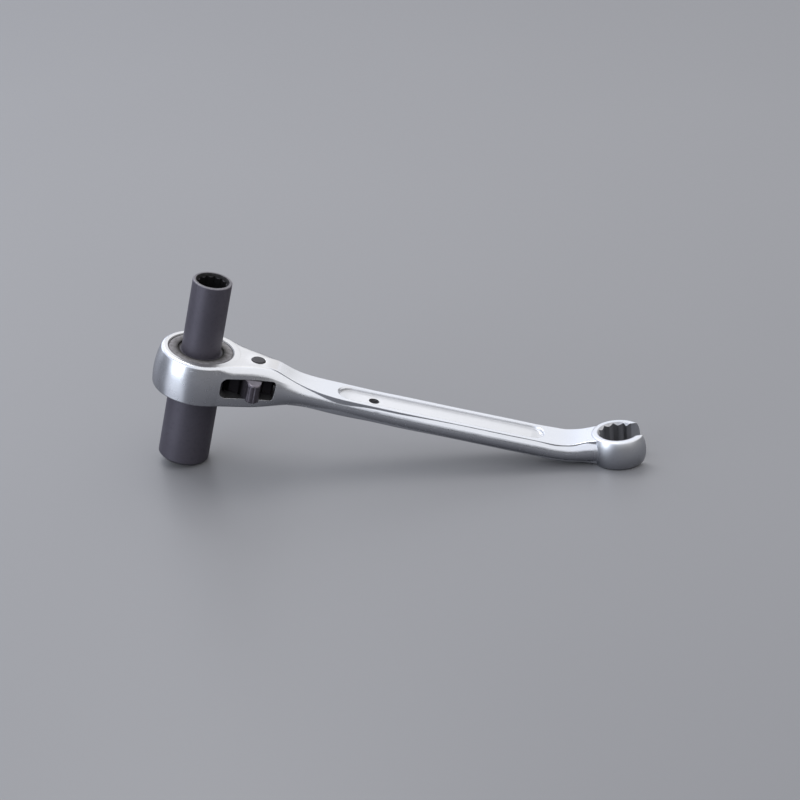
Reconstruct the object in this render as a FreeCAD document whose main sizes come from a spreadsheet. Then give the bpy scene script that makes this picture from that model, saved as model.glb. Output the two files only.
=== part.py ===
import FreeCAD, Part
import math
import os
from FreeCAD import Vector, Placement, Rotation

# Double-ended ratchet socket wrench with a bent, slotted twelve-point ring.
# Millimetres. +Z is the socket axis (small socket up), +X runs from the ratchet
# head along the handle to the ring. The origin is on the socket axis at the
# middle of the head's thickness.

doc = FreeCAD.newDocument("RatchetSocketWrench")

# ---------------------------------------------------------------- dimensions
sheet = doc.addObject("Spreadsheet::Sheet", "Sizes")
SIZES = [
    # head of the forging
    ("head_half_height", 8.0, "half the thickness of the ratchet head"),
    ("head_radius", 17.25, "largest radius of the bulged head rim"),
    ("head_offset", 0.5, "rim centre ahead of the socket axis"),
    ("head_side_radius", 34.0, "radius of the bulge of the rim, seen from the side"),
    ("head_bulge_z", -3.0, "height of the widest part of the rim"),
    ("head_edge_radius", 1.4, "soft shoulder between rim and upper land"),
    ("neck_edge_radius", 3.7, "soft shoulder above the window"),
    ("neck_step", 0.05, "how far the flats of the neck lie inside the flats of the head"),
    ("head_edge_low", 0.8, "edge between rim and lower land"),
    ("bore_radius", 12.43, "bearing bore of the head"),
    ("bore_chamfer", 0.35, "lead-in of the bearing bore"),
    ("groove_radius", 13.05, "retaining ring groove in the bore"),
    ("groove_low", 5.4, "lower wall of the ring groove"),
    ("groove_width", 1.1, "width of the ring groove"),
    # side window and pawl seat
    ("window_left", 10.6, "end of the side window nearest the socket"),
    ("pocket_left", 9.5, "end of the pawl pocket behind the window"),
    ("pocket_depth", 9.7, "half the span of the pawl pocket across the head"),
    ("pocket_corner", 1.5, "corner radius of the pawl pocket"),
    ("window_right_top", 31.0, "far end of the window at its top"),
    ("window_right_low", 30.3, "far end of the window at its bottom"),
    ("window_half_height", 3.9, "half the height of the side window"),
    ("window_corner", 2.4, "corner radius of the side window"),
    ("pin_x", 22.2, "pawl pin ahead of the socket axis"),
    ("pin_radius", 2.8, "pawl pin"),
    ("pin_hole_radius", 2.81, "pin hole in the head"),
    ("pin_low", -7.9, "lower end of the pawl pin"),
    ("pin_length", 16.3, "length of the pawl pin"),
    ("pin_crown", 0.7, "rounding of the pin's upper end"),
    ("detent_hole_radius", 1.55, "blind hole for ball and spring"),
    ("detent_hole_end", 41.9, "end of the blind hole"),
    # neck and handle
    ("taper_start", 7.0, "start of the neck loft"),
    ("taper_width", 15.72, "half width of the neck at its start"),
    ("taper_slope", 0.45, "narrowing of the neck per mm"),
    ("waist_half_width", 7.0, "half width at the waist"),
    ("grip_half_width", 8.3, "half width of the handle"),
    ("handle_z", -1.35, "height of the handle's middle plane"),
    ("handle_half", 3.1, "half thickness of the rounded bar"),
    ("land_rise", 0.25, "raised land above the bar"),
    ("land_half_width", 6.8, "half width of the raised land"),
    ("land_neck_half_width", 4.75, "half width of the land at the neck"),
    ("shoulder_x", 30.5, "where the top drops from head to handle"),
    ("shoulder_length", 9.0, "length over which it drops"),
    ("panel_start", 54.5, "start of the recessed panel"),
    ("panel_end", 134.0, "end of the recessed panel"),
    ("panel_half_width", 4.8, "half width of the panel at its rim"),
    ("panel_draft", 0.35, "how much narrower the panel floor is on each side"),
    ("panel_floor_top", 0.9, "height of the upper panel floor"),
    ("panel_floor_low", -3.6, "height of the lower panel floor"),
    ("hang_hole_x", 68.2, "hanging hole"),
    ("hang_hole_radius", 2.0, "hanging hole"),
    # bend and ring
    ("bend_x", 144.0, "apex of the bend"),
    ("bend_angle", 15.0, "bend of the ring end, degrees"),
    ("bend_tangent", 7.6, "tangent length of the bend"),
    ("ring_x", 162.5, "ring centre"),
    ("ring_z", 3.8, "ring centre"),
    ("ring_radius", 11.0, "largest radius of the ring"),
    ("ring_half_height", 5.7, "half height of the ring"),
    ("ring_side_radius", 14.0, "radius of the bulge of the ring"),
    ("ring_edge_radius", 0.7, "edges of the ring"),
    ("ring_flats", 13.0, "across flats of the twelve-point ring"),
    ("ring_slot_width", 10.4, "opening of the ring"),
    ("ring_slot_angle", 12.0, "direction of the opening, degrees"),
    # socket barrel
    ("upper_radius", 7.5, "small barrel"),
    ("upper_end", 36.9, "top of the small barrel"),
    ("upper_flats", 10.0, "across flats of the small socket"),
    ("upper_depth", 15.0, "depth of the small socket"),
    ("lower_radius", 9.73, "large barrel"),
    ("lower_end", -38.3, "bottom of the large barrel"),
    ("lower_flats", 13.0, "across flats of the large socket"),
    ("lower_depth", 17.0, "depth of the large socket"),
    ("through_radius", 4.8, "bore through the barrel"),
    ("flange_radius", 12.37, "ratchet flange"),
    ("flange_half_height", 7.7, "half thickness of the ratchet flange"),
    ("tooth_count", 36, "ratchet teeth"),
    ("tooth_root", 11.6, "root radius of the teeth"),
    ("tooth_flank", 40.0, "flank angle from the radius, degrees"),
    ("tooth_half_length", 4.1, "half the length of the teeth along the axis"),
    ("flange_groove", 11.6, "bottom of the ring groove in the flange"),
    # retaining ring
    ("ring_wire_inner", 11.75, "retaining ring, inside"),
    ("ring_wire_outer", 12.95, "retaining ring, outside"),
    ("ring_wire_height", 0.9, "retaining ring, thickness"),
    ("ring_wire_gap", 5.0, "retaining ring, gap"),
    # pawl
    ("pawl_half_height", 3.8, "half thickness of the pawl"),
    ("pawl_hub_radius", 4.6, "pawl hub"),
    ("pawl_bore_radius", 2.84, "pawl bore on the pin"),
    ("pawl_rock", 6.0, "half the rocking angle, degrees"),
    ("claw_angle", 25.0, "where the engaged claw meets the teeth, degrees"),
    ("claw_clearance", 0.12, "side play of a claw in its tooth space"),
    ("tab_x", 1.7, "thumb tab ahead of the pin"),
    ("tab_y", 11.2, "thumb tab to the side of the pin"),
    ("tab_radius", 2.6, "thumb tab"),
    ("tail_radius", 7.4, "end of the pawl's tail"),
    ("notch_radius", 2.0, "detent notch"),
    ("notch_centre", 9.0, "centre of the notch radius from the pin"),
    # detent
    ("ball_radius", 1.5, "detent ball"),
    ("ball_x", 30.75, "ball centre"),
    ("spring_radius", 1.15, "mean coil radius"),
    ("spring_wire", 0.2, "wire radius"),
    ("spring_start", 32.3, "first coil"),
    ("spring_length", 9.3, "length in place"),
    ("spring_pitch", 0.93, "coil pitch"),
]
for row, (alias, value, note) in enumerate(SIZES, start=1):
    sheet.set("A%d" % row, note)
    sheet.set("B%d" % row, repr(value))
    sheet.setAlias("B%d" % row, alias)
doc.recompute()


def size(alias):
    return float(sheet.get(alias))


# ---------------------------------------------------------------- helpers
def primitive(kind, name, label, bound=None, base=None, turn=None):
    """A Part primitive whose properties are bound to cells of the sheet."""
    obj = doc.addObject(kind, name)
    obj.Label = label
    for prop, expr in (bound or {}).items():
        obj.setExpression(prop, expr)
    if turn is not None:
        obj.Placement = Placement(base or Vector(), turn)
    elif base is not None:
        obj.Placement = Placement(base, Rotation())
    return obj


def feature(name, label, shape, place=None):
    """A Part::Feature, for a shape that has no primitive."""
    obj = doc.addObject("Part::Feature", name)
    obj.Label = label
    obj.Shape = shape
    obj.Placement = place or Placement()
    return obj


def fuse(name, label, parts):
    obj = doc.addObject("Part::MultiFuse", name)
    obj.Label = label
    obj.Shapes = parts
    obj.Refine = True
    return obj


def cut(name, label, base, tool):
    obj = doc.addObject("Part::Cut", name)
    obj.Label = label
    obj.Base = base
    obj.Tool = tool
    obj.Refine = True
    return obj


def ease(u):
    u = min(1.0, max(0.0, u))
    return u * u * u * (u * (6.0 * u - 15.0) + 10.0)


def softplus(u):
    return u if u > 30.0 else math.log(1.0 + math.exp(u))


def oval_points(half, top, low, edge, side, edge_low=None, lean=0.0):
    """Corner points of an oval bar section: flat top and bottom, bulged sides
    of radius side that are widest lean away from mid height, and rounded
    edges of radius edge above and edge_low below, all tangent."""
    mid = (top + low) / 2.0
    tall = (top - low) / 2.0
    edge_low = edge if edge_low is None else edge_low
    side = max(side, tall + abs(lean) + 0.05)
    cy = half - side

    def corner(radius, sign):
        radius = min(radius, tall - 0.05)
        kz = sign * (tall - radius)
        dz = kz - lean
        dy = math.sqrt((side - radius) ** 2 - dz ** 2)
        length = side - radius
        ky = cy + dy
        touch = (cy + side * dy / length, lean + side * dz / length)
        turn = sign * (math.pi / 2.0 + abs(math.atan2(dz, dy))) / 2.0
        middle = (ky + radius * math.cos(turn), kz + radius * math.sin(turn))
        return ky, touch, middle

    return mid, tall, corner(edge, 1.0), corner(edge_low, -1.0), (half, lean)


def oval_wire(half, top, low, edge, side, place, edge_low=None, lean=0.0):
    """The section as a closed wire in the local YZ plane, moved by place."""
    mid, tall, upper, lower, widest = oval_points(half, top, low, edge, side, edge_low, lean)

    def v(sign, y, z):
        return place.multVec(Vector(0, sign * y, mid + z))

    edges = [Part.LineSegment(v(-1, upper[0], tall), v(1, upper[0], tall)).toShape()]
    edges.append(Part.Arc(v(1, upper[0], tall), v(1, *upper[2]), v(1, *upper[1])).toShape())
    edges.append(Part.Arc(v(1, *upper[1]), v(1, *widest), v(1, *lower[1])).toShape())
    edges.append(Part.Arc(v(1, *lower[1]), v(1, *lower[2]), v(1, lower[0], -tall)).toShape())
    edges.append(Part.LineSegment(v(1, lower[0], -tall), v(-1, lower[0], -tall)).toShape())
    edges.append(Part.Arc(v(-1, lower[0], -tall), v(-1, *lower[2]), v(-1, *lower[1])).toShape())
    edges.append(Part.Arc(v(-1, *lower[1]), v(-1, *widest), v(-1, *upper[1])).toShape())
    edges.append(Part.Arc(v(-1, *upper[1]), v(-1, *upper[2]), v(-1, upper[0], tall)).toShape())
    return Part.Wire(edges)


def oval_disc(radius, tall, edge, side, edge_low=None, lean=0.0):
    """A round disc about +Z whose rim has the same oval section."""
    mid, tall, upper, lower, widest = oval_points(radius, tall, -tall, edge, side, edge_low, lean)

    def v(r, z):
        return Vector(r, 0, z)

    edges = [
        Part.LineSegment(v(0, tall), v(upper[0], tall)).toShape(),
        Part.Arc(v(upper[0], tall), v(*upper[2]), v(*upper[1])).toShape(),
        Part.Arc(v(*upper[1]), v(*widest), v(*lower[1])).toShape(),
        Part.Arc(v(*lower[1]), v(*lower[2]), v(lower[0], -tall)).toShape(),
        Part.LineSegment(v(lower[0], -tall), v(0, -tall)).toShape(),
        Part.LineSegment(v(0, -tall), v(0, tall)).toShape(),
    ]
    face = Part.Face(Part.Wire(edges))
    return face.revolve(Vector(0, 0, 0), Vector(0, 0, 1), 360)


def prism(points, low, high):
    """A straight prism along Z over a polygon in XY."""
    pts = [Vector(x, y, low) for x, y in points]
    return Part.Face(Part.makePolygon(pts + [pts[0]])).extrude(Vector(0, 0, high - low))


# ---------------------------------------------------------------- wrench body
# The forging: bulged head, tapering neck, rounded bar with a raised land on
# both faces, a 15 degree bend and a ring.
head_h = size("head_half_height")
bar_z = size("handle_z")
bar_h = size("handle_half")
rise = size("land_rise")


def neck_half(x):
    taper = size("taper_width") - size("taper_slope") * (x - size("taper_start"))
    grip = size("waist_half_width") + (size("grip_half_width") - size("waist_half_width")) * ease((x - 40.0) / 70.0)
    return grip + 2.5 * softplus((taper - grip) / 2.5)


def top_line(x, start, sharp):
    drop = math.exp(-softplus((x - start) / size("shoulder_length") * sharp) / sharp)
    return drop


def bar_top(x):
    floor = bar_z + bar_h
    level = floor + (head_h - floor) * top_line(x, size("shoulder_x") - 0.7, 4.0)
    return head_h - (head_h - level) * ease((x - 19.0) / 7.0)


def bar_low(x):
    floor = bar_z - bar_h
    return floor - (head_h + floor) * (1.0 - ease((x - 18.0) / 32.0))


def land_top(x):
    floor = bar_z + bar_h + rise
    return floor + (head_h - 0.05 - floor) * top_line(x, size("shoulder_x"), 6.0)


def land_low(x):
    return bar_low(x) - rise * ease((x - 26.0) / 12.0) + 0.4 * (1.0 - ease((x - 22.0) / 12.0))


def land_half(x):
    neck = size("land_neck_half_width")
    return neck + (size("land_half_width") - neck) * ease((x - 31.0) / 27.0)


bend = math.radians(size("bend_angle"))
bend_in = size("bend_x") - size("bend_tangent")
bend_r = size("bend_tangent") / math.tan(bend / 2.0)


def bend_place(angle):
    """Placement of a section on the bent centreline, angle in radians."""
    x = bend_in + bend_r * math.sin(angle)
    z = bar_z + bend_r * (1.0 - math.cos(angle))
    return Placement(Vector(x, 0, z), Rotation(Vector(0, 1, 0), -math.degrees(angle)))


def straight_place(x):
    return Placement(Vector(x, 0, 0), Rotation())


bar_sections = []
for x in (8.5, 11.5, 14, 16, 19, 22, 25, 28, 31, 34, 37, 41, 46, 53, 62, 75, 90, 108, 124, 133):
    blend = ease((x - 10.0) / 32.0)
    step = size("neck_step") * (1.0 - ease((x - 18.0) / 8.0))
    high, low = bar_top(x) - step, bar_low(x) + step
    tall = (high - low) / 2.0
    edge = (size("head_edge_radius") + 0.1
            + (size("neck_edge_radius") - size("head_edge_radius") - 0.1) * ease((x - 7.0) / 9.0)
            - (size("neck_edge_radius") - 2.6) * ease((x - 28.0) / 16.0))
    edge_low = size("head_edge_low") + (2.6 - size("head_edge_low")) * ease((x - 17.0) / 26.0)
    lean = size("head_bulge_z") * (1.0 - ease((x - 16.0) / 24.0))
    side = tall + 0.5 + (size("head_side_radius") - head_h) * (1.0 - blend)
    half = neck_half(x) - 0.15 * (1.0 - ease((x - 7.0) / 12.0))
    bar_sections.append(oval_wire(half, high, low, edge, side, straight_place(x), edge_low, lean))

# angle as a share of the bend, half width, upper and lower half thickness
bend_rows = [
    (0.0, 8.3, 3.1, 3.1), (0.25, 8.25, 3.12, 3.1), (0.5, 8.15, 3.3, 3.15),
    (0.75, 8.05, 3.85, 3.4), (1.0, 8.0, 4.55, 3.8),
]
tail_place = bend_place(bend)
tail_place.Base = tail_place.Base + Vector(math.cos(bend), 0, math.sin(bend)) * 5.2
for share, half, up, down in bend_rows:
    bar_sections.append(oval_wire(half, up, -down, 2.6, (up + down) / 2.0 + 0.5, bend_place(bend * share)))
bar_sections.append(oval_wire(8.0, 4.85, -4.3, 2.6, 5.1, tail_place))
bar_blank = feature("BarBlank", "bar_blank", Part.makeLoft(bar_sections, True, False))

land_sections = []
for x in (21, 24, 26.5, 28.5, 30, 31.5, 33, 35, 38, 42, 47, 53, 61, 74, 92, 112, 126, 133):
    land_sections.append(oval_wire(land_half(x), land_top(x), land_low(x), 0.25, 40.0, straight_place(x)))
land_rows = [
    (0.0, 7.0, 3.4, 3.4), (0.25, 6.95, 3.42, 3.4), (0.5, 6.75, 3.6, 3.45),
    (0.75, 6.45, 4.15, 3.7), (1.0, 6.2, 4.85, 4.1),
]
for share, half, up, down in land_rows:
    land_sections.append(oval_wire(half, up, -down, 0.25, 40.0, bend_place(bend * share)))
land_sections.append(oval_wire(6.1, 5.2, -4.6, 0.25, 40.0, tail_place))
land_blank = feature("LandBlank", "land_blank", Part.makeLoft(land_sections, True, False))

head_blank = feature(
    "HeadBlank", "head_blank",
    oval_disc(size("head_radius"), head_h, size("head_edge_radius"), size("head_side_radius"),
              size("head_edge_low"), size("head_bulge_z")),
    Placement(Vector(size("head_offset"), 0, 0), Rotation()))

ring_turn = Rotation(Vector(0, 1, 0), -size("bend_angle"))
ring_centre = Vector(size("ring_x"), 0, size("ring_z"))
ring_blank = feature(
    "RingBlank", "ring_blank",
    oval_disc(size("ring_radius"), size("ring_half_height"), size("ring_edge_radius"), size("ring_side_radius")),
    Placement(ring_centre, ring_turn))

head_and_bar = fuse("HeadAndBar", "head_and_bar", [head_blank, bar_blank])
with_land = fuse("WithLand", "head_bar_and_land", [head_and_bar, land_blank])
forging = fuse("Forging", "forging", [with_land, ring_blank])

# Cutters for the head
head_bore = primitive("Part::Cylinder", "HeadBore", "head_bore",
                      {"Radius": "Sizes.bore_radius", "Height": "2 * Sizes.head_half_height + 4"},
                      Vector(0, 0, -head_h - 2))
bore_lead_top = primitive("Part::Cone", "BoreLeadTop", "bore_lead_top",
                          {"Radius1": "Sizes.bore_radius - 0.2", "Radius2": "Sizes.bore_radius + Sizes.bore_chamfer + 0.2",
                           "Height": "Sizes.bore_chamfer + 0.4"},
                          Vector(0, 0, head_h - size("bore_chamfer") - 0.2))
bore_lead_low = primitive("Part::Cone", "BoreLeadLow", "bore_lead_low",
                          {"Radius2": "Sizes.bore_radius - 0.2", "Radius1": "Sizes.bore_radius + Sizes.bore_chamfer + 0.2",
                           "Height": "Sizes.bore_chamfer + 0.4"},
                          Vector(0, 0, -head_h - 0.2))
bore_groove = primitive("Part::Cylinder", "BoreGroove", "bore_groove",
                        {"Radius": "Sizes.groove_radius", "Height": "Sizes.groove_width"},
                        Vector(0, 0, size("groove_low")))
pin_hole = primitive("Part::Cylinder", "PinHole", "pin_hole",
                     {"Radius": "Sizes.pin_hole_radius", "Height": "2 * Sizes.head_half_height + 4"},
                     Vector(size("pin_x"), 0, -head_h - 2))
detent_hole = primitive("Part::Cylinder", "DetentHole", "detent_hole",
                        {"Radius": "Sizes.detent_hole_radius", "Height": "Sizes.detent_hole_end - 28"},
                        Vector(28, 0, 0), Rotation(Vector(0, 1, 0), 90))

wh = size("window_half_height")


def window_tool(left, reach, corner):
    """A round-cornered prism across the head, its far end slightly raked."""
    pts = [Vector(left, -reach, -wh), Vector(size("window_right_low"), -reach, -wh),
           Vector(size("window_right_top"), -reach, wh), Vector(left, -reach, wh)]
    tool = Part.Face(Part.makePolygon(pts + [pts[0]])).extrude(Vector(0, 2 * reach, 0))
    corners = [e for e in tool.Edges if abs(e.Vertexes[0].Point.y - e.Vertexes[1].Point.y) > reach]
    return tool.makeFillet(corner, corners)


window_cutter = feature("WindowCutter", "window_cutter",
                        window_tool(size("window_left"), 25.0, size("window_corner")))
pocket_cutter = feature("PocketCutter", "pocket_cutter",
                        window_tool(size("pocket_left"), size("pocket_depth"), size("pocket_corner")))

# Cutters for the handle: a recessed panel with round ends on each face
def panel_tool(floor, mouth, name):
    """A round-ended pocket, narrower at its floor, with a softened rim."""
    start, end = size("panel_start"), size("panel_end")
    half, draft = size("panel_half_width"), size("panel_draft")
    up = 1.0 if mouth > floor else -1.0

    def stadium(grow, z):
        r = half + grow
        a, b = start + half, end - half
        pts = (Vector(a, -r, z), Vector(b, -r, z), Vector(b + r, 0, z),
               Vector(b, r, z), Vector(a, r, z), Vector(a - r, 0, z))
        return Part.Wire([
            Part.LineSegment(pts[0], pts[1]).toShape(),
            Part.Arc(pts[1], pts[2], pts[3]).toShape(),
            Part.LineSegment(pts[3], pts[4]).toShape(),
            Part.Arc(pts[4], pts[5], pts[0]).toShape(),
        ])

    rim = bar_z + up * (bar_h + rise)
    wires = [stadium(-draft, floor), stadium(-0.02, rim - up * 0.2), stadium(0.2, rim), stadium(2.2, mouth)]
    tool = Part.makeLoft(wires, True, True)
    floor_edges = [e for e in tool.Edges
                   if all(abs(v.Point.z - floor) < 1e-6 for v in e.Vertexes)]
    tool = tool.makeFillet(0.35, floor_edges)
    return feature(name, name.lower(), tool)


panel_top = panel_tool(size("panel_floor_top"), bar_z + bar_h + rise + 2.0, "PanelTop")
panel_low = panel_tool(size("panel_floor_low"), bar_z - bar_h - rise - 2.0, "PanelLow")
hang_hole = primitive("Part::Cylinder", "HangHole", "hang_hole",
                      {"Radius": "Sizes.hang_hole_radius", "Height": "20"},
                      Vector(size("hang_hole_x"), 0, -10))

# Cutters for the ring: twelve points are two hexagons 30 degrees apart
ring_tools = []
rh = size("ring_half_height")
for index in (0, 1):
    turn = ring_turn.multiply(Rotation(Vector(0, 0, 1), 30.0 * index + 15.0))
    base = ring_centre + turn.multVec(Vector(0, 0, -rh - 2))
    ring_tools.append(primitive("Part::Prism", "RingHex%d" % index, "ring_hexagon_%d" % index,
                                {"Circumradius": "Sizes.ring_flats / sqrt(3)",
                                 "Height": "2 * Sizes.ring_half_height + 4"}, base, turn))
ring_tools.append(primitive("Part::Cone", "RingLeadTop", "ring_lead_top",
                            {"Radius1": "Sizes.ring_flats / sqrt(3) - 0.6",
                             "Radius2": "Sizes.ring_flats / sqrt(3) + 0.4", "Height": "1.0"},
                            ring_centre + ring_turn.multVec(Vector(0, 0, rh - 0.8)), ring_turn))
ring_tools.append(primitive("Part::Cone", "RingLeadLow", "ring_lead_low",
                            {"Radius1": "Sizes.ring_flats / sqrt(3) + 0.4",
                             "Radius2": "Sizes.ring_flats / sqrt(3) - 0.6", "Height": "1.0"},
                            ring_centre + ring_turn.multVec(Vector(0, 0, -rh - 0.2)), ring_turn))

slot_w = size("ring_slot_width") / 2.0
slot = prism([(0, -slot_w), (size("ring_radius") - 2.0, -slot_w), (size("ring_radius") + 3.0, -slot_w - 2.0),
              (size("ring_radius") + 3.0, slot_w + 2.0), (size("ring_radius") - 2.0, slot_w), (0, slot_w)],
             -rh - 2, rh + 2)
slot_soft = [e for e in slot.Edges
             if abs(e.Vertexes[0].Point.z - e.Vertexes[1].Point.z) > 5
             and abs(e.Vertexes[0].Point.x - (size("ring_radius") - 2.0)) < 1e-6]
slot = slot.makeFillet(1.6, slot_soft)
slot_turn = ring_turn.multiply(Rotation(Vector(0, 0, 1), size("ring_slot_angle")))
ring_tools.append(feature("RingSlot", "ring_slot", slot, Placement(ring_centre, slot_turn)))

body_tools = fuse("BodyTools", "body_cutters",
                  [head_bore, bore_lead_top, bore_lead_low, bore_groove, pin_hole, detent_hole])
ring_cutters = fuse("RingTools", "ring_cutters", ring_tools)
body_a = cut("BodyA", "forging_bored", forging, body_tools)
body_w = cut("BodyW", "forging_pocketed", body_a, pocket_cutter)
body_b = cut("BodyB", "forging_windowed", body_w, window_cutter)
body_c = cut("BodyC", "forging_upper_panel", body_b, panel_top)
body_d = cut("BodyD", "forging_lower_panel", body_c, panel_low)
body_e = cut("BodyE", "forging_holed", body_d, hang_hole)
wrench_body = cut("WrenchBody", "wrench_body", body_e, ring_cutters)

# ---------------------------------------------------------------- socket barrel
# One turned part: small socket above, large socket below, ratchet flange in
# the middle. The profile is revolved, then hollowed and toothed.
ur, ue = size("upper_radius"), size("upper_end")
lr, le = size("lower_radius"), size("lower_end")
fr, fh = size("flange_radius"), size("flange_half_height")
gr, gl, gw = size("flange_groove"), size("groove_low"), size("groove_width")
profile = [
    (0, le), (lr - 0.9, le), (lr, le + 1.0), (lr, -fh - 0.3), (lr + 0.3, -fh), (fr - 0.35, -fh),
    (fr, -fh + 0.35), (fr, gl), (gr, gl), (gr, gl + gw), (fr, gl + gw), (fr, fh - 0.35), (fr - 0.35, fh),
    (ur + 1.45, fh), (ur + 1.15, fh - 0.55), (ur, fh - 0.55), (ur, ue - 0.35), (ur - 0.35, ue), (0, ue),
]
wire = Part.makePolygon([Vector(r, 0, z) for r, z in profile + [profile[0]]])
barrel_blank = feature("BarrelBlank", "barrel_blank",
                       Part.Face(wire).revolve(Vector(0, 0, 0), Vector(0, 0, 1), 360))

teeth = []
root, flank = size("tooth_root"), math.tan(math.radians(size("tooth_flank")))
reach = fr + 0.22
for index in range(int(size("tooth_count"))):
    space = prism([(root, -0.2), (reach, -0.2 - (reach - root) * flank),
                   (reach, 0.2 + (reach - root) * flank), (root, 0.2)],
                  -size("tooth_half_length"), size("tooth_half_length"))
    space.rotate(Vector(), Vector(0, 0, 1), (index + 0.5) * 360.0 / size("tooth_count"))
    teeth.append(space)
tooth_spaces = feature("ToothSpaces", "tooth_spaces", Part.makeCompound(teeth))

barrel_tools = [primitive("Part::Cylinder", "ThroughBore", "through_bore",
                          {"Radius": "Sizes.through_radius", "Height": "Sizes.upper_end - Sizes.lower_end + 4"},
                          Vector(0, 0, le - 2))]
for index in (0, 1):
    barrel_tools.append(primitive("Part::Prism", "UpperHex%d" % index, "upper_hexagon_%d" % index,
                                  {"Circumradius": "Sizes.upper_flats / sqrt(3)", "Height": "Sizes.upper_depth + 1"},
                                  Vector(0, 0, ue - size("upper_depth")), Rotation(Vector(0, 0, 1), 30.0 * index)))
    barrel_tools.append(primitive("Part::Prism", "LowerHex%d" % index, "lower_hexagon_%d" % index,
                                  {"Circumradius": "Sizes.lower_flats / sqrt(3)", "Height": "Sizes.lower_depth + 1"},
                                  Vector(0, 0, le - 1), Rotation(Vector(0, 0, 1), 30.0 * index)))
barrel_tools.append(primitive("Part::Cone", "UpperLead", "upper_lead",
                              {"Radius1": "Sizes.upper_flats / sqrt(3) - 0.3",
                               "Radius2": "Sizes.upper_flats / sqrt(3) + 0.75", "Height": "1.4"},
                              Vector(0, 0, ue - 1.2)))
barrel_tools.append(primitive("Part::Cone", "LowerLead", "lower_lead",
                              {"Radius1": "Sizes.lower_flats / sqrt(3) + 0.75",
                               "Radius2": "Sizes.lower_flats / sqrt(3) - 0.3", "Height": "1.4"},
                              Vector(0, 0, le - 0.2)))
barrel_hollow = fuse("BarrelHollow", "barrel_hollow", barrel_tools)
barrel_cut = cut("BarrelCut", "barrel_hollowed", barrel_blank, barrel_hollow)
socket_barrel = cut("SocketBarrel", "socket_barrel", barrel_cut, tooth_spaces)

# ---------------------------------------------------------------- retaining ring
wire_z = size("groove_low") + (size("groove_width") - size("ring_wire_height")) / 2.0
ring_outer = primitive("Part::Cylinder", "WireOuter", "wire_outer",
                       {"Radius": "Sizes.ring_wire_outer", "Height": "Sizes.ring_wire_height"}, Vector(0, 0, wire_z))
ring_inner = primitive("Part::Cylinder", "WireInner", "wire_inner",
                       {"Radius": "Sizes.ring_wire_inner", "Height": "Sizes.ring_wire_height + 2"},
                       Vector(0, 0, wire_z - 1))
ring_gap = primitive("Part::Box", "WireGap", "wire_gap",
                     {"Length": "Sizes.ring_wire_outer + 2", "Width": "Sizes.ring_wire_gap",
                      "Height": "Sizes.ring_wire_height + 2"},
                     Vector(-size("ring_wire_outer") - 2, -size("ring_wire_gap") / 2.0, wire_z - 1))
ring_void = fuse("WireVoid", "wire_void", [ring_inner, ring_gap])
retaining_ring = cut("RetainingRing", "retaining_ring", ring_outer, ring_void)

# ---------------------------------------------------------------- reversing pawl
# Drawn about its pin with its axis of symmetry along -X, then turned so that
# the claw on the -Y side sits in a tooth space.
px = size("pin_x")
rock = math.radians(size("pawl_rock"))
ph = size("pawl_half_height")
yoke = [(2.5, 4.0), (-2.0, 7.6), (-5.0, 8.0), (-8.2, 7.9), (-10.6, 7.2), (-12.0, 6.4),
        (-12.0, -6.4), (-10.6, -7.2), (-8.2, -7.9), (-5.0, -8.0), (-2.0, -7.6), (2.5, -4.0)]
pawl_solid = prism(yoke, -ph, ph)
pawl_solid = pawl_solid.fuse(Part.makeCylinder(size("pawl_hub_radius"), 2 * ph, Vector(0, 0, -ph)))
tail = prism([(1.0, -3.0), (size("tail_radius") + 0.5, -2.1), (size("tail_radius") + 0.5, 2.1), (1.0, 3.0)], -ph, ph)
pawl_solid = pawl_solid.fuse(tail.common(Part.makeCylinder(size("tail_radius"), 2 * ph, Vector(0, 0, -ph))))

# room for the toothed flange at every rocking angle
for step in (-1.0, -0.5, 0.0, 0.5, 1.0):
    a = rock * step
    centre = Vector(-px * math.cos(a), px * math.sin(a), -ph - 1)
    pawl_solid = pawl_solid.cut(Part.makeCylinder(fr + 0.13, 2 * ph + 2, centre))

# claws: the tooth space, less the side play, mirrored about the pawl's axis
slack = size("claw_clearance")


def claw(sign):
    tip, base = root + 0.08, fr + 1.1
    gamma = math.radians(size("claw_angle")) * sign

    def at(radius, offset):
        x = radius * math.cos(gamma) - offset * math.sin(gamma) - px
        y = radius * math.sin(gamma) + offset * math.cos(gamma)
        a = -rock * sign
        return (x * math.cos(a) - y * math.sin(a), x * math.sin(a) + y * math.cos(a))

    w_tip = 0.2 + (tip - root) * flank - slack
    w_base = 0.2 + (base - root) * flank - slack
    return prism([at(tip, -w_tip), at(base, -w_base), at(base, w_base), at(tip, w_tip)], -ph, ph)


pawl_solid = pawl_solid.fuse([claw(1.0), claw(-1.0)])

# thumb tabs, one out of each window, with two finger grooves each
for sign in (1.0, -1.0):
    ty = sign * size("tab_y")
    outline = [(-4.8, sign * 3.0), (-4.4, sign * 8.1), (-0.9, ty), (4.3, ty), (3.6, sign * 3.0)]
    arm = prism(outline if sign > 0 else outline[::-1], -ph, ph)
    tab = Part.makeCylinder(size("tab_radius"), 2 * ph, Vector(size("tab_x"), ty, -ph))
    rim = [e for e in tab.Edges if e.Curve.TypeId == "Part::GeomCircle"]
    tab = tab.makeFillet(0.8, rim)
    pawl_solid = pawl_solid.fuse([arm, tab])
    for offset in (-0.95, 0.95):
        groove = Part.makeCylinder(0.42, 2 * ph + 2, Vector(size("tab_x") + offset, ty + sign * 2.62, -ph - 1))
        pawl_solid = pawl_solid.cut(groove)
for sign in (1.0, -1.0):
    a = sign * rock
    notch = Part.makeCylinder(size("notch_radius"), 2 * ph + 2,
                              Vector(size("notch_centre") * math.cos(a), size("notch_centre") * math.sin(a), -ph - 1))
    pawl_solid = pawl_solid.cut(notch)
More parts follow.
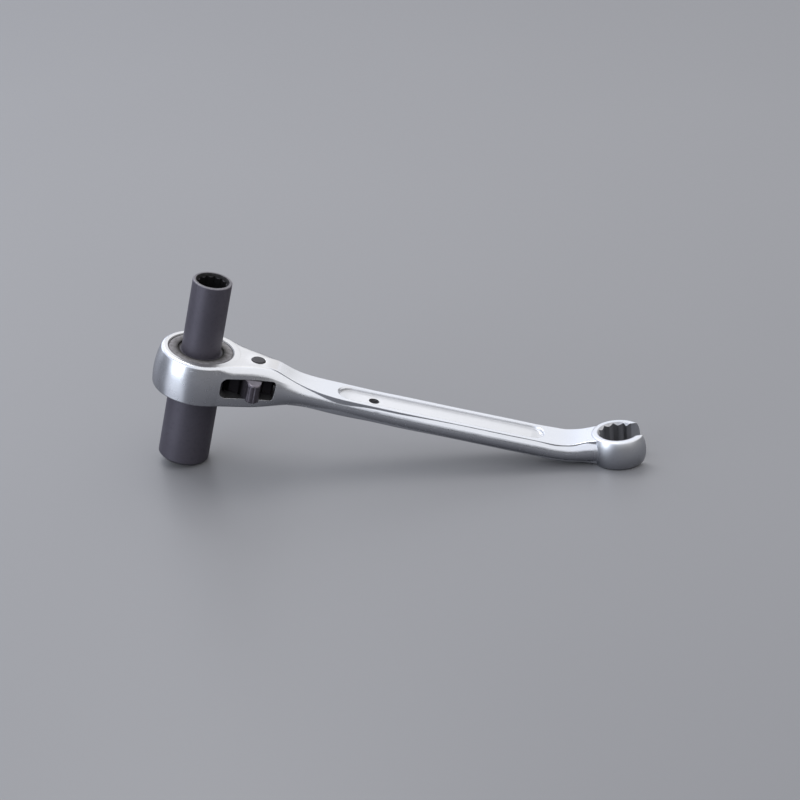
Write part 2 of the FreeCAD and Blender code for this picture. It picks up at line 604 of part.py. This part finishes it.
pawl_blank = feature("PawlBlank", "pawl_blank", pawl_solid.removeSplitter(),
                     Placement(Vector(px, 0, 0), Rotation(Vector(0, 0, 1), -size("pawl_rock"))))
pawl_bore = primitive("Part::Cylinder", "PawlBore", "pawl_bore",
                      {"Radius": "Sizes.pawl_bore_radius", "Height": "2 * Sizes.pawl_half_height + 4"},
                      Vector(px, 0, -ph - 2))
reversing_pawl = cut("ReversingPawl", "reversing_pawl", pawl_blank, pawl_bore)

# ---------------------------------------------------------------- pawl pin
# A sketched and padded body with a rounded upper end.
pin_body = doc.addObject("PartDesign::Body", "PinBody")
pin_body.Label = "pawl_pin"
pin_sketch = pin_body.newObject("Sketcher::SketchObject", "PinSketch")
xy = [f for f in pin_body.Origin.OriginFeatures if f.Role == "XY_Plane"][0]
pin_sketch.AttachmentSupport = [(xy, "")]
pin_sketch.MapMode = "FlatFace"
circle = pin_sketch.addGeometry(Part.Circle(Vector(0, 0, 0), Vector(0, 0, 1), size("pin_radius")), False)
import Sketcher
pin_sketch.addConstraint(Sketcher.Constraint("Coincident", circle, 3, -1, 1))
radius_index = pin_sketch.addConstraint(Sketcher.Constraint("Radius", circle, size("pin_radius")))
pin_sketch.setExpression("Constraints[%d]" % radius_index, "Sizes.pin_radius")
pin_pad = pin_body.newObject("PartDesign::Pad", "PinPad")
pin_pad.Profile = pin_sketch
pin_pad.setExpression("Length", "Sizes.pin_length")
doc.recompute()
top_edge = [i + 1 for i, e in enumerate(pin_pad.Shape.Edges)
            if e.Curve.TypeId == "Part::GeomCircle" and abs(e.Curve.Center.z - size("pin_length")) < 1e-6]
low_edge = [i + 1 for i, e in enumerate(pin_pad.Shape.Edges)
            if e.Curve.TypeId == "Part::GeomCircle" and abs(e.Curve.Center.z) < 1e-6]
pin_round = pin_body.newObject("PartDesign::Fillet", "PinCrown")
pin_round.Base = (pin_pad, ["Edge%d" % top_edge[0]])
pin_round.setExpression("Radius", "Sizes.pin_crown")
doc.recompute()
pin_body.Placement = Placement(Vector(px, 0, size("pin_low")), Rotation())

# ---------------------------------------------------------------- detent ball and spring
detent_ball = primitive("Part::Sphere", "DetentBall", "detent_ball", {"Radius": "Sizes.ball_radius"},
                        Vector(size("ball_x"), 0, 0))

coil = doc.addObject("Part::Helix", "Coil")
coil.Label = "spring_coil_path"
coil.setExpression("Radius", "Sizes.spring_radius")
coil.setExpression("Pitch", "Sizes.spring_pitch")
coil.setExpression("Height", "Sizes.spring_length")
wire_section = doc.addObject("Part::Circle", "WireSection")
wire_section.Label = "spring_wire_section"
wire_section.setExpression("Radius", "Sizes.spring_wire")
wire_section.Placement = Placement(Vector(size("spring_radius"), 0, 0), Rotation(Vector(1, 0, 0), 90))
detent_spring = doc.addObject("Part::Sweep", "DetentSpring")
detent_spring.Label = "detent_spring"
detent_spring.Sections = [wire_section]
detent_spring.Spine = (coil, ["Edge1"])
detent_spring.Solid = True
detent_spring.Frenet = True
detent_spring.Placement = Placement(Vector(size("spring_start"), 0, 0), Rotation(Vector(0, 1, 0), 90))

doc.recompute()

# ---------------------------------------------------------------- checks and export
NODES = [wrench_body, socket_barrel, retaining_ring, reversing_pawl, pin_body, detent_ball, detent_spring]
for obj in doc.Objects:
    if "Invalid" in obj.State or "Error" in obj.State:
        raise RuntimeError("%s did not compute: %s" % (obj.Label, obj.State))
for obj in NODES:
    if obj.Shape.isNull() or not obj.Shape.isValid() or obj.Shape.Volume <= 0:
        raise RuntimeError("%s has no valid shape" % obj.Label)
    if len(obj.Shape.Solids) != 1:
        raise RuntimeError("%s has %d solids" % (obj.Label, len(obj.Shape.Solids)))

os.makedirs("parts", exist_ok=True)
for obj in NODES:
    obj.Shape.exportStep("parts/%s.step" % obj.Label)
    box = obj.Shape.BoundBox
    print("%-16s volume %9.2f  x %7.2f %7.2f  y %7.2f %7.2f  z %7.2f %7.2f" % (
        obj.Label, obj.Shape.Volume, box.XMin, box.XMax, box.YMin, box.YMax, box.ZMin, box.ZMax))
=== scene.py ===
"""Looks for the double-ended ratchet socket wrench. Metres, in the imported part's own frame:
+Z socket axis with the small socket up, +X along the handle to the ring, origin at the head."""

import math

import bpy
from mathutils import Matrix, Vector

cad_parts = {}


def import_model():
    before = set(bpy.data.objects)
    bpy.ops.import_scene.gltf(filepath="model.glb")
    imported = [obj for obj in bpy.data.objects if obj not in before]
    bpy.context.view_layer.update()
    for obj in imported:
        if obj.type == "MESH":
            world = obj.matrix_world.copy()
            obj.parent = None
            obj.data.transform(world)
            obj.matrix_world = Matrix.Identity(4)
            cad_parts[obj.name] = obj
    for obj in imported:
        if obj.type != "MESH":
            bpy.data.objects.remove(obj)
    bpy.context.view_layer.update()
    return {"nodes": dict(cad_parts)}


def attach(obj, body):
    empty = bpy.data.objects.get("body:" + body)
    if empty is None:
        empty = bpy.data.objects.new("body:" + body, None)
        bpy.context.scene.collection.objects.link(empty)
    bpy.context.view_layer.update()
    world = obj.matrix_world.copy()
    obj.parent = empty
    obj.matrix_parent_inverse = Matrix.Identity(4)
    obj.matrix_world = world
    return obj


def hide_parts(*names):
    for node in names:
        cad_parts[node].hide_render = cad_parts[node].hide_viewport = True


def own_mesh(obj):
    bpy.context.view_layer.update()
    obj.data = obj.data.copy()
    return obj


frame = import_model()
NODES = frame["nodes"]


# ------------------------------------------------------------------ layout
TILT = math.radians(13.16)          # the tool leans from the big socket's rim to the ring
FLOOR_AT = Vector((0.00883, 0.0, -0.0383))
UP = Vector((-math.sin(TILT), 0.0, math.cos(TILT)))
ALONG = Vector((math.cos(TILT), 0.0, math.sin(TILT)))
ACROSS = Vector((0.0, 1.0, 0.0))
RING_CENTRE = Vector((0.1625, 0.0, 0.0038))
RING_AXIS = Vector((-math.sin(math.radians(15)), 0.0, math.cos(math.radians(15))))


# ------------------------------------------------------------------ node helpers
class Graph:
    """A thin wrapper that makes shader graphs short to write."""

    def __init__(self, tree):
        self.tree = tree
        self.nodes = tree.nodes
        self.links = tree.links

    def put(self, socket, value):
        if value is None:
            return
        if hasattr(value, "is_output") or hasattr(value, "links"):
            self.links.new(value, socket)
        elif isinstance(value, (tuple, list, Vector)):
            value = list(value)
            if socket.type == "RGBA" and len(value) == 3:
                value = value + [1.0]
            socket.default_value = value
        else:
            socket.default_value = value

    def node(self, kind, inputs=None, **props):
        n = self.nodes.new(kind)
        for k, v in props.items():
            setattr(n, k, v)
        for k, v in (inputs or {}).items():
            self.put(n.inputs[k], v)
        return n

    def math(self, op, a, b=None, c=None, clamp=False):
        n = self.node("ShaderNodeMath", operation=op, use_clamp=clamp)
        for i, v in enumerate((a, b, c)):
            if v is not None:
                self.put(n.inputs[i], v)
        return n.outputs[0]

    def vmath(self, op, a, b=None):
        n = self.node("ShaderNodeVectorMath", operation=op)
        self.put(n.inputs[0], a)
        if b is not None:
            self.put(n.inputs[1], b)
        return n.outputs["Value"] if op in ("DOT_PRODUCT", "LENGTH", "DISTANCE") else n.outputs["Vector"]

    def step(self, value, low, high, to_low=0.0, to_high=1.0):
        n = self.node("ShaderNodeMapRange", interpolation_type="SMOOTHSTEP", clamp=True)
        for k, v in (("Value", value), ("From Min", low), ("From Max", high), ("To Min", to_low), ("To Max", to_high)):
            self.put(n.inputs[k], v)
        return n.outputs["Result"]

    def mix(self, factor, a, b):
        n = self.node("ShaderNodeMix", data_type="RGBA")
        self.put(n.inputs["Factor"], factor)
        self.put(n.inputs[6], a)
        self.put(n.inputs[7], b)
        return n.outputs[2]

    def lerp(self, factor, a, b):
        n = self.node("ShaderNodeMix", data_type="FLOAT")
        self.put(n.inputs["Factor"], factor)
        self.put(n.inputs[2], a)
        self.put(n.inputs[3], b)
        return n.outputs[0]

    def noise(self, vector, scale, detail=3.0, rough=0.55, distortion=0.0):
        n = self.node("ShaderNodeTexNoise", {"Vector": vector, "Scale": scale, "Detail": detail,
                                             "Roughness": rough, "Distortion": distortion})
        return n.outputs["Fac"]

    def stretch(self, vector, scale):
        return self.node("ShaderNodeMapping", {"Vector": vector, "Scale": scale}).outputs["Vector"]

    def bump(self, height, distance, strength=1.0, normal=None):
        n = self.node("ShaderNodeBump", {"Height": height, "Distance": distance, "Strength": strength})
        if normal is not None:
            self.put(n.inputs["Normal"], normal)
        return n.outputs["Normal"]


def new_material(name):
    m = bpy.data.materials.new(name)
    m.use_nodes = True
    m.node_tree.nodes.clear()
    g = Graph(m.node_tree)
    out = g.node("ShaderNodeOutputMaterial")
    b = g.node("ShaderNodeBsdfPrincipled")
    g.links.new(b.outputs[0], out.inputs["Surface"])
    return m, g, b


def common(g):
    """Rest-pose position in metres and the geometry node, which gives the surface normal."""
    pos = g.node("ShaderNodeTexCoord").outputs["Object"]
    geo = g.node("ShaderNodeNewGeometry")
    return pos, geo


def edge_wear(g, geo, low=0.52, high=0.6):
    return g.step(geo.outputs["Pointiness"], low, high)


# ------------------------------------------------------------------ materials
def forged_chrome():
    m, g, b = new_material("satin_chrome_forging")
    pos, geo = common(g)
    xyz = g.node("ShaderNodeSeparateXYZ", {0: pos})
    x, y, z = xyz.outputs
    soft = g.node("ShaderNodeBevel", {"Radius": 0.00022}, samples=6).outputs["Normal"]
    flat = g.node("ShaderNodeSeparateXYZ", {0: geo.outputs["Normal"]}).outputs[2]
    flat_top = g.step(flat, 0.955, 0.985)

    # masks: ground lands, sunk panel, ring wall, bores and window walls
    near_head = g.step(x, 0.034, 0.029)
    head_land = g.math("MULTIPLY", flat_top, near_head)
    in_panel = g.math("MULTIPLY", g.step(x, 0.0545, 0.0555), g.step(x, 0.1345, 0.1335))
    in_panel = g.math("MULTIPLY", in_panel, g.step(g.math("ABSOLUTE", y), 0.0050, 0.0046))
    sunk = g.math("MULTIPLY", in_panel, g.step(g.math("ABSOLUTE", g.math("ADD", z, 0.00135)), 0.0031, 0.0027))
    rad = g.vmath("LENGTH", g.node("ShaderNodeCombineXYZ", {0: x, 1: y, 2: 0.0}).outputs[0])
    bore_shade_mask = g.step(rad, 0.01286, 0.01280)
    to_ring = g.vmath("SUBTRACT", pos, tuple(RING_CENTRE))
    ring_h = g.vmath("DOT_PRODUCT", to_ring, tuple(RING_AXIS))
    ring_flat = g.vmath("SUBTRACT", to_ring, g.node("ShaderNodeVectorMath", {0: tuple(RING_AXIS), 3: ring_h},
                                                   operation="SCALE").outputs[0])
    ring_r = g.vmath("LENGTH", ring_flat)
    near_ring = g.step(ring_r, 0.0125, 0.0112)
    ring_bore_marks_and_shade = g.math("MULTIPLY", near_ring, g.step(ring_r, 0.0082, 0.0078))
    # walls inside the window slot, which get painted shade below
    window = g.math("MULTIPLY", g.step(g.math("ABSOLUTE", z), 0.00400, 0.00394),
                    g.math("MULTIPLY", g.step(x, 0.0093, 0.0096), g.step(x, 0.0313, 0.0310)))
    # the outer skin around the window's rounded corners keeps its chrome, without the painted shade
    sideways = g.node("ShaderNodeSeparateXYZ", {0: geo.outputs["Normal"]}).outputs[1]
    window = g.math("MULTIPLY", window, g.step(g.math("MULTIPLY", y, sideways), 0.0055, 0.0035))

    # textures
    waves = g.noise(pos, 95.0, 2.0, 0.5)
    cloud = g.noise(pos, 38.0, 4.0, 0.6)
    grain = g.noise(pos, 5200.0, 3.0, 0.65)
    lines = g.noise(g.stretch(pos, (160.0, 5200.0, 5200.0)), 1.0, 3.0, 0.6)
    cross = g.noise(g.stretch(pos, (5200.0, 5200.0, 220.0)), 1.0, 3.0, 0.6)
    stipple = g.noise(pos, 2300.0, 3.0, 0.6)
    marks = g.noise(pos, 420.0, 5.0, 0.7)
    scratch = g.step(g.noise(g.stretch(pos, (90.0, 2600.0, 900.0)), 1.0, 2.0, 0.5, 0.6), 0.69, 0.74)
    wear = edge_wear(g, geo)

    plate = g.mix(cloud, (0.70, 0.72, 0.76), (0.79, 0.80, 0.83))
    ground = g.mix(lines, (0.60, 0.59, 0.58), (0.72, 0.71, 0.70))
    col = g.mix(g.math("MULTIPLY", head_land, 0.8), plate, ground)
    col = g.mix(g.math("MULTIPLY", sunk, 0.75), col, g.mix(stipple, (0.52, 0.52, 0.53), (0.70, 0.70, 0.70)))
    # painted shade: the walls of the head's bore are darkened to near black
    col = g.mix(g.math("MULTIPLY", bore_shade_mask, 0.8), col, (0.10, 0.095, 0.09))
    # broached marks with painted shade: the ring's inner walls are darkened
    col = g.mix(g.math("MULTIPLY", ring_bore_marks_and_shade, 0.75), col, g.mix(cross, (0.14, 0.14, 0.15), (0.40, 0.40, 0.42)))
    # painted shade: the walls inside the window are darkened to near black
    col = g.mix(g.math("MULTIPLY", window, 0.95), col, (0.022, 0.021, 0.022))
    # painted shade inside the hole at x = 68.2 mm
    hole = g.math("MULTIPLY", g.step(g.vmath("DISTANCE", g.node("ShaderNodeCombineXYZ", {0: x, 1: y, 2: 0.0}).outputs[0],
                                             (0.0682, 0.0, 0.0)), 0.00204, 0.00200), 0.85)
    col = g.mix(hole, col, (0.08, 0.078, 0.08))
    col = g.mix(g.math("MULTIPLY", g.step(marks, 0.66, 0.74), 0.12), col, (0.45, 0.42, 0.38))
    col = g.mix(g.math("MULTIPLY", wear, 0.35), col, (0.90, 0.90, 0.91))
    b.inputs["Metallic"].default_value = 1.0
    g.put(b.inputs["Base Color"], col)

    rough = g.lerp(cloud, 0.20, 0.30)
    rough = g.lerp(head_land, rough, g.lerp(lines, 0.30, 0.42))
    rough = g.lerp(sunk, rough, g.lerp(stipple, 0.34, 0.50))
    rough = g.lerp(g.math("MULTIPLY", near_ring, 0.6), rough, g.lerp(cross, 0.24, 0.42))
    rough = g.lerp(g.math("MAXIMUM", bore_shade_mask, window), rough, 0.45)
    rough = g.math("ADD", rough, g.math("MULTIPLY", scratch, 0.10))
    rough = g.math("ADD", rough, g.math("MULTIPLY", g.step(marks, 0.6, 0.75), 0.05))
    g.put(b.inputs["Roughness"], rough)

    n = g.bump(waves, 0.00030, 0.30, soft)
    n = g.bump(grain, 0.000006, 0.35, n)
    n = g.bump(g.math("MULTIPLY", lines, head_land), 0.000010, 0.6, n)
    n = g.bump(g.math("MULTIPLY", stipple, sunk), 0.00003, 0.6, n)
    n = g.bump(g.math("MULTIPLY", cross, near_ring), 0.000012, 0.6, n)
    n = g.bump(g.math("MULTIPLY", scratch, -1.0), 0.000012, 0.5, n)
    g.put(b.inputs["Normal"], n)
    return m


def black_barrel():
    m, g, b = new_material("black_phosphate_barrel")
    pos, geo = common(g)
    x, y, z = g.node("ShaderNodeSeparateXYZ", {0: pos}).outputs
    soft = g.node("ShaderNodeBevel", {"Radius": 0.00018}, samples=6).outputs["Normal"]
    rad = g.vmath("LENGTH", g.node("ShaderNodeCombineXYZ", {0: x, 1: y, 2: 0.0}).outputs[0])
    up = g.math("ABSOLUTE", g.node("ShaderNodeSeparateXYZ", {0: geo.outputs["Normal"]}).outputs[2])
    high = g.math("ABSOLUTE", z)
    disc = g.math("MULTIPLY", g.math("MULTIPLY", g.step(rad, 0.0079, 0.0083), g.step(high, 0.0064, 0.0067)),
                  g.step(high, 0.0086, 0.0083))
    radial = g.vmath("NORMALIZE", g.node("ShaderNodeCombineXYZ", {0: x, 1: y, 2: 0.0}).outputs[0])
    inward = g.vmath("DOT_PRODUCT", radial, geo.outputs["Normal"])
    # inward-facing walls and the small bore, which get painted shade below
    inside = g.math("MAXIMUM", g.step(inward, 0.15, -0.15), g.math("MULTIPLY", g.step(rad, 0.0053, 0.0050), 1.0))
    inside = g.math("MULTIPLY", inside, g.step(rad, 0.0098, 0.0094))

    cloud = g.noise(pos, 60.0, 4.0, 0.6)
    grain = g.noise(pos, 6500.0, 3.0, 0.7)
    blotch = g.noise(pos, 650.0, 5.0, 0.65)
    rings = g.noise(g.node("ShaderNodeCombineXYZ", {0: g.math("MULTIPLY", rad, 5200.0), 1: 0.5, 2: 0.5}).outputs[0],
                    1.0, 3.0, 0.6)
    fine = g.noise(g.stretch(pos, (2600.0, 2600.0, 2600.0)), 1.0, 2.0, 0.6)
    turn = g.noise(g.stretch(pos, (90.0, 90.0, 4200.0)), 1.0, 2.0, 0.6)
    broach = g.noise(g.stretch(pos, (5200.0, 5200.0, 160.0)), 1.0, 3.0, 0.6)
    wear = edge_wear(g, geo, 0.515, 0.58)

    col = g.mix(cloud, (0.100, 0.093, 0.115), (0.140, 0.130, 0.158))
    col = g.mix(g.math("MULTIPLY", g.step(blotch, 0.5, 0.72), 0.35), col, (0.078, 0.072, 0.087))
    # the flange face: turned rings in dark matte phosphate, darkened further with painted shade round the barrel's
    # base
    col = g.mix(disc, col, g.mix(rings, (0.016, 0.014, 0.012), (0.080, 0.072, 0.064)))
    # painted shade: bore walls and the inner chamfer are darkened to near black, over the broached marks
    col = g.mix(inside, col, g.mix(broach, (0.006, 0.006, 0.006), (0.030, 0.029, 0.030)))
    wear = g.math("MULTIPLY", wear, g.math("SUBTRACT", 1.0, g.math("MULTIPLY", inside, 0.85)))
    col = g.mix(g.math("MULTIPLY", wear, g.step(blotch, 0.25, 0.6, 0.25, 0.8)), col, (0.32, 0.31, 0.32))
    g.put(b.inputs["Base Color"], col)
    g.put(b.inputs["Metallic"], g.lerp(disc, 0.55, 0.25))
    rough = g.lerp(blotch, 0.40, 0.56)
    rough = g.lerp(disc, rough, g.lerp(rings, 0.55, 0.75))
    rough = g.lerp(inside, rough, 0.6)
    g.put(b.inputs["Roughness"], rough)
    g.put(b.inputs["Specular IOR Level"], g.lerp(g.math("MAXIMUM", inside, disc), 0.5, 0.12))
    n = g.bump(grain, 0.00001, 0.45, soft)
    n = g.bump(turn, 0.00001, 0.35, n)
    n = g.bump(g.math("MULTIPLY", g.math("ADD", rings, g.math("MULTIPLY", fine, 0.6)), disc), 0.00005, 0.6, n)
    n = g.bump(g.math("MULTIPLY", broach, inside), 0.00003, 0.6, n)
    g.put(b.inputs["Normal"], n)
    return m


def steel(name, dark, light, metallic, rough_low, rough_high, stain=0.3, brushed=(2200.0, 2200.0, 2200.0),
          recess=None):
    m, g, b = new_material(name)
    pos, geo = common(g)
    soft = g.node("ShaderNodeBevel", {"Radius": 0.00015}, samples=6).outputs["Normal"]
    cloud = g.noise(pos, 240.0, 4.0, 0.6)
    grain = g.noise(g.stretch(pos, brushed), 1.0, 3.0, 0.65)
    blotch = g.noise(pos, 900.0, 5.0, 0.65)
    wear = edge_wear(g, geo, 0.52, 0.6)
    col = g.mix(cloud, dark, light)
    col = g.mix(g.math("MULTIPLY", g.step(blotch, 0.5, 0.7), stain), col, tuple(0.45 * c for c in dark))
    col = g.mix(g.math("MULTIPLY", wear, 0.45), col, tuple(min(1.0, 1.6 * c + 0.05) for c in light))
    if recess:
        # painted shade on whatever sits deeper inside the head than recess, in metres from the mid plane: near-black
        # colour and a low specular level
        painted_deep_shade = g.step(g.math("ABSOLUTE", g.node("ShaderNodeSeparateXYZ", {0: pos}).outputs[1]), recess[1], recess[0])
        col = g.mix(g.math("MULTIPLY", painted_deep_shade, 0.93), col, (0.008, 0.008, 0.009))
        g.put(b.inputs["Specular IOR Level"], g.lerp(painted_deep_shade, 0.5, 0.1))
    g.put(b.inputs["Base Color"], col)
    b.inputs["Metallic"].default_value = metallic
    g.put(b.inputs["Roughness"], g.lerp(blotch, rough_low, rough_high))
    n = g.bump(grain, 0.00001, 0.5, soft)
    n = g.bump(blotch, 0.00002, 0.3, n)
    g.put(b.inputs["Normal"], n)
    return m


MATERIALS = {
    "wrench_body": forged_chrome(),
    "socket_barrel": black_barrel(),
    # the retaining ring's own dark colour, deepened with painted shade for the gap round the barrel
    "retaining_ring": steel("spring_steel_ring", (0.050, 0.047, 0.044), (0.10, 0.095, 0.09), 0.8, 0.36, 0.5),
    "reversing_pawl": steel("pawl_steel_painted_shade", (0.085, 0.076, 0.090), (0.22, 0.20, 0.23), 0.85, 0.24, 0.40, 0.5,
                             recess=(0.0082, 0.0098)),
    "pawl_pin": steel("black_oxide_pin", (0.030, 0.029, 0.032), (0.055, 0.052, 0.056), 0.5, 0.34, 0.5, 0.3),
    "detent_ball": steel("polished_ball", (0.62, 0.62, 0.64), (0.74, 0.74, 0.76), 1.0, 0.08, 0.16, 0.1),
    "detent_spring": steel("spring_wire", (0.34, 0.33, 0.33), (0.46, 0.45, 0.45), 1.0, 0.25, 0.4),
}
for name, ob in NODES.items():
    mat = MATERIALS[name]
    if ob.data.materials:
        for i in range(len(ob.data.materials)):
            ob.data.materials[i] = mat
    else:
        ob.data.materials.append(mat)


# ------------------------------------------------------------------ detent spring copy
def springing_coil():
    """A copy of the detent spring, shown in place of the hidden CAD spring and attached to the wrench body."""
    cad = NODES["detent_spring"]
    coil = bpy.data.objects.new("detent_spring_coil", cad.data.copy())
    bpy.context.scene.collection.objects.link(coil)
    coil.matrix_world = cad.matrix_world.copy()
    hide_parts("detent_spring")
    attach(coil, "wrench")
    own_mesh(coil)


springing_coil()


# ------------------------------------------------------------------ floor
def make_floor():
    size = 6.0
    mesh = bpy.data.meshes.new("floor")
    a, c = ALONG * size, ACROSS * size
    mesh.from_pydata([FLOOR_AT - a - c, FLOOR_AT + a - c, FLOOR_AT + a + c, FLOOR_AT - a + c], [], [(0, 1, 2, 3)])
    ob = bpy.data.objects.new("floor", mesh)
    bpy.context.scene.collection.objects.link(ob)
    m, g, b = new_material("grey_seamless")
    pos = g.node("ShaderNodeTexCoord").outputs["Object"]
    soft = g.noise(pos, 3.0, 2.0, 0.5)
    fine = g.noise(pos, 900.0, 3.0, 0.6)
    pale = g.mix(soft, (0.212, 0.212, 0.219), (0.234, 0.233, 0.240))
    # painted reflection and painted shade: to every ray but camera rays the floor is dark, except for a pale patch
    # painted in front and to the left
    painted_patch_dir = (ALONG * -0.79 - ACROSS * 0.62).normalized()
    off = g.vmath("SUBTRACT", pos, tuple(FLOOR_AT))
    ahead = g.vmath("DOT_PRODUCT", g.vmath("NORMALIZE", off), tuple(painted_patch_dir))
    painted_bright_patch = g.math("MULTIPLY", g.step(ahead, 0.86, 0.96), g.step(g.vmath("LENGTH", off), 0.03, 0.09))
    painted_reflected_floor = g.mix(painted_bright_patch, (0.085, 0.085, 0.092), (0.42, 0.43, 0.46))
    path = g.node("ShaderNodeLightPath")
    g.put(b.inputs["Base Color"], g.mix(path.outputs["Is Camera Ray"], painted_reflected_floor, pale))
    g.put(b.inputs["Roughness"], g.lerp(fine, 0.32, 0.42))
    b.inputs["Specular IOR Level"].default_value = 0.25
    g.put(b.inputs["Normal"], g.bump(fine, 0.00002, 0.2))
    out = [n for n in g.nodes if n.type == "OUTPUT_MATERIAL"][0]
    geo = g.node("ShaderNodeNewGeometry")
    clear = g.node("ShaderNodeBsdfTransparent")
    mix = g.node("ShaderNodeMixShader")
    g.links.new(geo.outputs["Backfacing"], mix.inputs[0])
    g.links.new(b.outputs[0], mix.inputs[1])
    g.links.new(clear.outputs[0], mix.inputs[2])
    g.links.new(mix.outputs[0], out.inputs["Surface"])
    mesh.materials.append(m)
    return ob


floor = make_floor()


# ------------------------------------------------------------------ light
def world():
    w = bpy.data.worlds.new("studio")
    bpy.context.scene.world = w
    w.use_nodes = True
    w.node_tree.nodes.clear()
    g = Graph(w.node_tree)
    d = g.node("ShaderNodeTexCoord").outputs["Generated"]
    up = g.vmath("DOT_PRODUCT", d, tuple(UP))
    right = g.vmath("DOT_PRODUCT", d, tuple(ALONG))
    away = g.vmath("DOT_PRODUCT", d, (0.0, 1.0, 0.0))
    # pale room: dim at the horizon, brighter above
    level = g.step(up, 0.02, 0.42, 0.19, 1.04)
    back = g.math("MULTIPLY", g.step(away, 0.1, 0.7), g.step(up, -0.05, 0.25))
    level = g.math("ADD", level, g.math("MULTIPLY", back, 0.10))
    # pale walls to the left, in front and behind, with a dark stand between them
    front_left = g.math("MULTIPLY", g.step(right, -0.30, -0.62), g.step(away, -0.12, -0.34))
    back_left = g.math("MULTIPLY", g.step(right, -0.10, -0.35), g.step(away, 0.25, 0.55))
    wall = g.math("MULTIPLY", g.math("MAXIMUM", front_left, back_left), g.step(up, -0.10, 0.03))
    wall = g.math("MULTIPLY", wall, g.step(up, 0.52, 0.28))
    level = g.math("ADD", level, g.math("MULTIPLY", wall, 0.75))
    # the darker side of the room around the camera
    gap = g.math("MULTIPLY", g.step(away, -0.45, -0.8), g.step(up, 0.40, 0.10))
    gap = g.math("MULTIPLY", gap, g.math("MULTIPLY", g.step(right, -0.45, -0.20), g.step(right, 0.85, 0.55)))
    level = g.math("MULTIPLY", level, g.math("SUBTRACT", 1.0, g.math("MULTIPLY", gap, 0.45)))
    tone = g.mix(g.step(right, -0.6, 0.5), (0.90, 0.95, 1.08), (0.99, 0.99, 1.0))
    bg = g.node("ShaderNodeBackground", {"Color": tone, "Strength": level})
    out = g.node("ShaderNodeOutputWorld")
    g.links.new(bg.outputs[0], out.inputs["Surface"])


def area(name, target, direction, distance, size, radiance, colour=(1, 1, 1)):
    data = bpy.data.lights.new(name, "AREA")
    data.shape = "RECTANGLE"
    data.size, data.size_y = size
    data.energy = radiance * math.pi * size[0] * size[1]
    data.color = colour
    ob = bpy.data.objects.new(name, data)
    bpy.context.scene.collection.objects.link(ob)
    direction = Vector(direction).normalized()
    ob.location = Vector(target) + direction * distance
    ob.rotation_euler = direction.to_track_quat("Z", "Y").to_euler()
    return ob


world()
aim = (0.08, 0.0, -0.01)
key_dir = ALONG * -0.30 + ACROSS * 0.42 + UP * 1.0
area("key", aim, key_dir, 0.75, (0.42, 0.34), 5.2)
fill_dir = ALONG * -0.88 + ACROSS * -0.72 + UP * 0.36
area("fill_left", aim, fill_dir, 0.80, (0.42, 0.46), 1.6, (0.86, 0.94, 1.0))


# ------------------------------------------------------------------ camera
def camera():
    az, el, roll = (math.radians(v) for v in (-0.596, 27.2744, 11.9443))
    dist, f, u0, v0 = 1000.0, 2630.08, 198.071, 366.881
    back = Vector((math.sin(az) * math.cos(el), -math.cos(az) * math.cos(el), math.sin(el)))
    right = (-back).cross(Vector((0, 0, 1))).normalized()
    up = right.cross(-back)
    r2 = right * math.cos(roll) + up * math.sin(roll)
    u2 = -right * math.sin(roll) + up * math.cos(roll)
    # the frame's origin is seen at (u0, v0), dist away along the optical axis
    offset = r2 * ((u0 - 400.0) / f * dist) - u2 * ((v0 - 400.0) / f * dist) - back * dist
    place = -offset / 1000.0
    data = bpy.data.cameras.new("main")
    data.sensor_width = 36.0
    data.lens = f / 800.0 * 36.0
    data.clip_start, data.clip_end = 0.01, 50.0
    ob = bpy.data.objects.new("main_camera", data)
    bpy.context.scene.collection.objects.link(ob)
    m = Matrix((r2, u2, back)).transposed().to_4x4()
    m.translation = place
    ob.matrix_world = m
    bpy.context.scene.camera = ob


camera()

scene = bpy.context.scene
scene.view_settings.view_transform = "Standard"
scene.view_settings.look = "None"
scene.view_settings.exposure = 0.0
scene.view_settings.gamma = 1.0
scene.cycles.max_bounces = 8
scene.cycles.diffuse_bounces = 3
scene.cycles.glossy_bounces = 5
scene.cycles.seed = 7
scene.cycles.use_denoising = True
